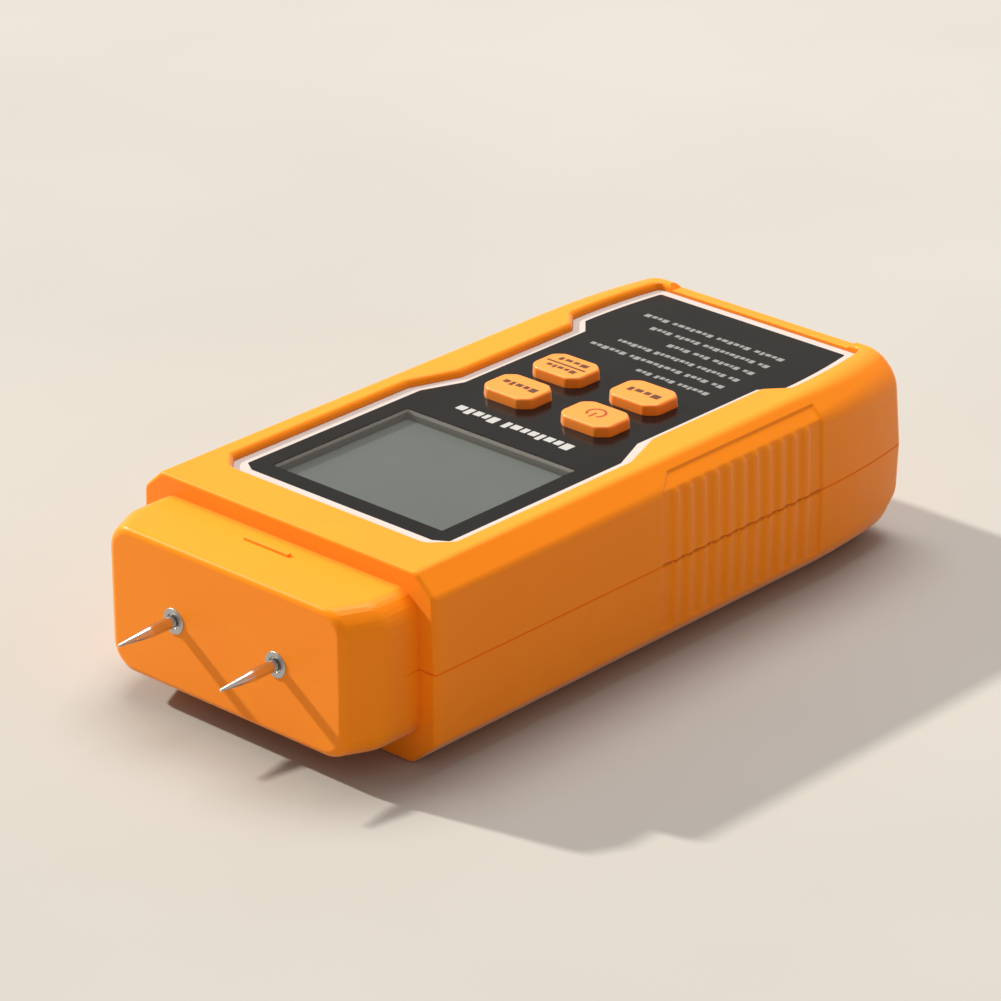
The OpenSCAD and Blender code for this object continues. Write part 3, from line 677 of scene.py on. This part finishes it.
WHITE_INK = print_ink("white_ink", srgb(172, 173, 174))
GREY_INK = print_ink("grey_ink", srgb(126, 127, 128))
BROWN_INK = print_ink("brown_ink", srgb(84, 46, 18))
RED_INK = print_ink("red_ink", srgb(158, 56, 18))
MATERIALS = {
    "orange_plastic": orange(),
    "key_plastic": key_orange(),
    "white_plate": printed_plate(),
    "black_label": glossy_label(),
    "clear_window": window_pane(),
    "display_glass": liquid_crystal(),
    "dark_plastic": plastic("frame_plastic", (104, 101, 97), 0.5),
    "light_guide": plastic("light_guide", (226, 226, 218), 0.3),
    "contact_rubber": plastic("contact_rubber", (150, 138, 118), 0.8),
    "board": fabricated_board(),
    "chip_plastic": plastic("chip_epoxy", (26, 26, 28), 0.6),
    "nylon": plastic("natural_nylon", (214, 208, 190), 0.45),
    "pin_steel": metal("polished_steel", (0.7, 0.68, 0.66, 1), 0.2, (1, 0.12, 1)),
    "zinc_steel": metal("zinc_plate", (0.5, 0.5, 0.51, 1), 0.32),
    "brass": metal("turned_brass", (0.72, 0.5, 0.2, 1), 0.26, (1, 8, 1)),
    "can_sleeve": plastic("shrunk_sleeve", (26, 34, 66), 0.28),
    "resistor_body": plastic("resistor_lacquer", (178, 148, 108), 0.4),
    "white_wire": plastic("white_insulation", (220, 218, 212), 0.45),
    "grey_wire": plastic("grey_insulation", (92, 92, 95), 0.45),
    "red_wire": plastic("red_insulation", (176, 28, 22), 0.42),
    "black_wire": plastic("black_insulation", (24, 24, 25), 0.42),
    "battery_can": battery_can(),
    "foam": foam(),
}
SLOT_OF = {s["node"]: s["material_slot"] for s in frame["record"]["subparts"]}
BODY_OF = {n: b for b, members in frame["record"]["behaviour"]["bodies"].items() for n in members}


def dress(obj, slot, material=None):
    """Gives a piece the slot's material, unless it has one of its own."""
    obj.data.materials.clear()
    obj.data.materials.append(material or MATERIALS[slot])
    return obj


# ---------------------------------------------------------------- pieces

for shell, piece in (("top_shell", "case_upper"), ("bottom_shell", "case_lower")):
    made = case_piece(piece, shell)
    round_edges(made, 0.24, 3, least=25, where=at_ledge)
    round_edges(made, 0.4, 3, least=25, where=at_rear_bar)
    smooth(made, 25)
    dress(made, "orange_plastic")
    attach(made, "case")
    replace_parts(made, shell)


def key_outline(margin):
    """A key's plan, a rectangle with cut corners, made larger all round by the margin."""
    x, y, c = KEY_SIZE[0] / 2 + margin, KEY_SIZE[1] / 2 + margin, KEY_CORNER + margin * 0.6
    d = c * 0.85
    return rounded([(-x + c, -y), (x - c, -y), (x, -y + d), (x, y - d),
                    (x - c, y), (-x + c, y), (-x, y - d), (-x, -y + d)], KEY_ROUND, 5)


def key_piece(name, at, body, node):
    """A cap with a flange under the face, slightly drawn-in sides and a soft upper edge."""
    low, roof = KEY_FLANGE
    steps = [(1.0, low), (1.0, roof), (0.0, roof), (0.0, FACE_Z + 0.2), (-0.05, FACE_Z + 0.9)]
    for s in range(7):
        a = math.pi / 2 * s / 6
        steps.append((-0.08 - KEY_EDGE * (1 - math.cos(a)), KEY_TOP - KEY_EDGE * (1 - math.sin(a))))
    steps.append((-0.85, KEY_TOP))
    obj = loft(name, [[(at[0] + x, at[1] + y, z) for x, y in key_outline(margin)] for margin, z in steps])
    smooth(obj, 40)
    dress(obj, "key_plastic")
    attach(obj, body)
    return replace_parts(obj, node)


KEYS = {"material": (-KEY_X, KEY_ROWS[0]), "unit": (-KEY_X, KEY_ROWS[1]),
        "power": (KEY_X, KEY_ROWS[0]), "hold": (KEY_X, KEY_ROWS[1])}
for key, at in KEYS.items():
    key_piece(key + "_key_cap", at, key + "_button", key + "_key")


def printed(name, outlines, surface, body, slot, ink):
    """One piece of thin flat shapes on a level surface, such as lines of print."""
    z0, z1 = surface - PRINT_SINK, surface + PRINT_RISE
    verts, faces = [], []
    for outline in outlines:
        start, n = len(verts), len(outline)
        verts += [(x, y, z) for z in (z0, z1) for x, y in outline]
        faces += [[start + s, start + (s + 1) % n, start + n + (s + 1) % n, start + n + s] for s in range(n)]
        faces += [[start + s for s in range(n - 1, -1, -1)], [start + n + s for s in range(n)]]
    obj = new_object(name, verts, faces)
    dress(obj, slot, ink)
    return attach(obj, body)


def block(x0, x1, y0, y1, radius):
    return rounded([(x0, y0), (x1, y0), (x1, y1), (x0, y1)], radius, 3)


def greeked(start, end, y, tall, words, letter):
    """Blocks that stand for words of so many letters; they run toward -X and their tops lie toward -Y."""
    pattern = (1.0, 0.72, 0.9, 0.55, 0.84, 0.66, 0.95, 0.6, 0.78)
    gap, space = 0.26 * letter, 0.62 * letter
    sizes = []
    for w, count in enumerate(words):
        sizes += [("letter", pattern[(k + 2 * w) % len(pattern)] * letter, k) for k in range(count)]
        sizes.append(("space", space, 0))
    total = sum(size + (gap if kind == "letter" else 0) for kind, size, _ in sizes[:-1])
    scale = (start - end) / total
    blocks, x = [], start
    for kind, size, k in sizes[:-1]:
        if kind == "letter":
            high = tall if k == 0 or k % 4 == 3 else tall * 0.74
            blocks.append(block(x - size * scale, x, y + tall / 2 - high, y + tall / 2, 0.12 * letter))
            x -= gap * scale
        x -= size * scale
    return blocks


# the end of each line and how many letters its words have
FINE_PRINT = ((-1.8, (6, 4, 3)), (-16.7, (2, 4, 9, 6)), (-13.6, (2, 6, 8, 7)), (-5.2, (2, 5, 3, 4)),
              (-13.0, (2, 10, 5, 4)), (-18.1, (5, 6, 7, 4)))
FINE_START, FINE_FIRST_Y, FINE_PITCH = 15.6, 28.0, 4.3
title = greeked(13.4, -14.5, -6.7, 2.5, (8, 5), 1.5)
printed("title_print", title, FACE_Z, "case", "white_plate", WHITE_INK)
fine = []
for row, (end, words) in enumerate(FINE_PRINT):
    fine += greeked(FINE_START, end, FINE_FIRST_Y + FINE_PITCH * row, 1.35, words, 0.9)
printed("fine_print", fine, FACE_Z, "case", "white_plate", GREY_INK)


def power_mark(x, y):
    """A ring open toward -Y with a bar in the opening."""
    outer, inner, opening = 2.0, 1.5, 38
    ring = [math.radians(opening - 90 + (360 - 2 * opening) * k / 40) for k in range(41)]
    outline = [(x + outer * math.cos(a), y + outer * math.sin(a)) for a in ring]
    outline += [(x + inner * math.cos(a), y + inner * math.sin(a)) for a in reversed(ring)]
    return [outline, block(x - 0.25, x + 0.25, y - 2.1, y + 0.1, 0.15)]


def fraction_mark(x, y):
    """A short row of blocks over another, with a line between them."""
    marks = [block(x - 4.6, x + 4.6, y - 0.3, y + 0.25, 0.1)]
    for row, letters in ((y + 1.8, 4), (y - 1.7, 5)):
        marks += greeked(x + 3.7, x - 3.6, row, 1.3, (letters,), 0.9)
    return marks


def word_mark(x, y, half, letters):
    """One row of blocks, centred on x."""
    return greeked(x + half, x - half, y, 1.7, (letters,), 1.2)


LEFT, RIGHT = -KEY_X, KEY_X
NEAR, FAR = KEY_ROWS
KEY_MARKS = {
    "material": (word_mark(LEFT + 0.1, NEAR + 0.2, 4.2, 5), BROWN_INK),
    "unit": (fraction_mark(LEFT, FAR), BROWN_INK),
    "power": (power_mark(RIGHT, NEAR + 0.3), RED_INK),
    "hold": (word_mark(RIGHT + 0.1, FAR - 0.2, 3.9, 4), BROWN_INK),
}
for key, (outlines, ink) in KEY_MARKS.items():
    printed(key + "_key_print", outlines, KEY_TOP, key + "_button", "key_plastic", ink)


def collar_piece(name, side, node):
    """A turned collar: a rounded flange, a groove round the pin and the neck behind it."""
    front, bore = COLLAR_FRONT, PIN_R - 0.3
    profile = [(PIN_R + 0.03, front + 0.32), (PIN_R + 0.28, front + 0.3), (PIN_R + 0.36, front + 0.02),
               (PIN_R + 0.42, front)]
    for t in (math.pi / 2 * k / 4 for k in range(5)):
        profile.append((COLLAR_R - COLLAR_ROUND * (1 - math.sin(t)),
                        front + COLLAR_ROUND * (1 - math.cos(t))))
    profile += [(COLLAR_R, NOSE_Y + 0.02), (NECK_R, NOSE_Y + 0.02), (NECK_R, SOCKET_Y),
                (bore, SOCKET_Y), (bore, front + 0.32)]
    n = len(profile)
    verts, faces = [], []
    for k in range(COLLAR_SIDES):
        a, here, ahead = 2 * math.pi * k / COLLAR_SIDES, k * n, (k + 1) % COLLAR_SIDES * n
        verts += [(side * PIN_X + r * math.cos(a), y, PIN_Z + r * math.sin(a)) for r, y in profile]
        faces += [[here + s, here + (s + 1) % n, ahead + (s + 1) % n, ahead + s] for s in range(n)]
    obj = new_object(name, verts, faces)
    smooth(obj, 30)
    dress(obj, "zinc_steel")
    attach(obj, "case")
    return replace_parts(obj, node)


collar_piece("collar_left_turned", -1, "collar_left")
collar_piece("collar_right_turned", 1, "collar_right")


def refined(node, offset):
    """A copy of a CAD node with its sharp edges rounded, which stands for it."""
    obj = bpy.data.objects.new(node + "_part", nodes[node].data.copy())
    scene.collection.objects.link(obj)
    welded(obj, angle=0.3)
    if offset:
        round_edges(obj, offset, 2, least=30)
    smooth(obj, 50 if "wire" in node or "lead" in node else 35)
    dress(obj, SLOT_OF[node])
    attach(obj, BODY_OF[node])
    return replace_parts(obj, node)


# how far the edges of each node are rounded; the wires, the plate and the label are left as they are
ROUNDED = {
    "battery_door": 0.25, "shell_screws": 0.12, "face_plate": 0.0, "face_label": 0.0, "display_window": 0.12,
    "display_frame": 0.1, "display_glass": 0.1, "backlight_panel": 0.15, "contact_strip_front": 0.15,
    "contact_strip_rear": 0.15, "main_board": 0.08, "board_screws": 0.1, "controller_chip": 0.15,
    "amplifier_chip": 0.12, "crystal": 0.3, "buzzer": 0.3, "capacitor_large": 0.3, "capacitor_small": 0.3,
    "sense_resistor": 0.4, "pin_left": 0.05, "pin_right": 0.05, "socket_left": 0.2, "socket_right": 0.2,
    "pin_holder": 0.3, "probe_wire_left": 0.0, "probe_wire_right": 0.0, "battery": 0.2, "battery_snap": 0.4,
    "battery_lead_positive": 0.0, "battery_lead_negative": 0.0, "battery_pad": 0.6,
}
for key in KEYS:
    ROUNDED[key + "_switch"] = 0.15
    ROUNDED[key + "_plunger"] = 0.2
for node, offset in ROUNDED.items():
    refined(node, offset)


# ---------------------------------------------------------------- floor, light and camera

def aimed(name, data, direction):
    """A light or camera in the scene that looks along a direction."""
    obj = bpy.data.objects.new(name, data)
    obj.rotation_mode = "QUATERNION"
    obj.rotation_quaternion = direction.to_track_quat("-Z", "Y")
    scene.collection.objects.link(obj)
    return obj


def pale_floor():
    half = 2500
    corners = [(-half, -half, 0), (half, -half, 0), (half, half, 0), (-half, half, 0)]
    floor = new_object("floor", corners, [(0, 1, 2, 3)])
    m = Nodes("pale_floor")
    cloud = m.noise(6, 3)
    tint = m.mix(m.ramp(cloud, 0.3, 0.7, 0, 1), srgb(173, 170, 167), srgb(167, 164, 161))
    floor.data.materials.append(m.principled(tint, 0.75, Specular_IOR_Level=0.1))


def studio_light():
    """A warm sky, a low sun from the left and a large soft light high up on the same side."""
    world = bpy.data.worlds.new("studio")
    scene.world = world
    world.use_nodes = True
    sky = world.node_tree.nodes["Background"]
    sky.inputs["Color"].default_value = (1.0, 0.92, 0.84, 1)
    sky.inputs["Strength"].default_value = 0.48
    sun = bpy.data.lights.new("key_light", "SUN")
    sun.energy, sun.angle, sun.color = 4.2, math.radians(2.5), (1.0, 0.98, 0.86)
    aimed("key_light", sun, Vector((1.461, 0.347, -1.0)))
    top = bpy.data.lights.new("top_light", "AREA")
    top.shape, top.size, top.size_y = "RECTANGLE", 1.2, 0.8
    top.energy, top.color = 28, (1.0, 0.97, 0.92)
    place, target = Vector((-0.4, 0.45, 1.65)), Vector((0, 0, 0.02))
    aimed("top_light", top, target - place).location = place


def camera():
    """Looks down on the face from the front right with a long lens."""
    azimuth, elevation = math.radians(42.45), math.radians(24.43)
    ahead = Vector((-math.sin(azimuth) * math.cos(elevation), math.cos(azimuth) * math.cos(elevation),
                    -math.sin(elevation)))
    lens = bpy.data.cameras.new("camera")
    lens.lens, lens.sensor_width = 162.4, 36
    lens.clip_start, lens.clip_end = 0.01, 20
    scene.camera = aimed("camera", lens, ahead)
    scene.camera.location = (0.4945, -0.5510, 0.3544)


pale_floor()
studio_light()
camera()
scene.view_settings.view_transform = "Standard"
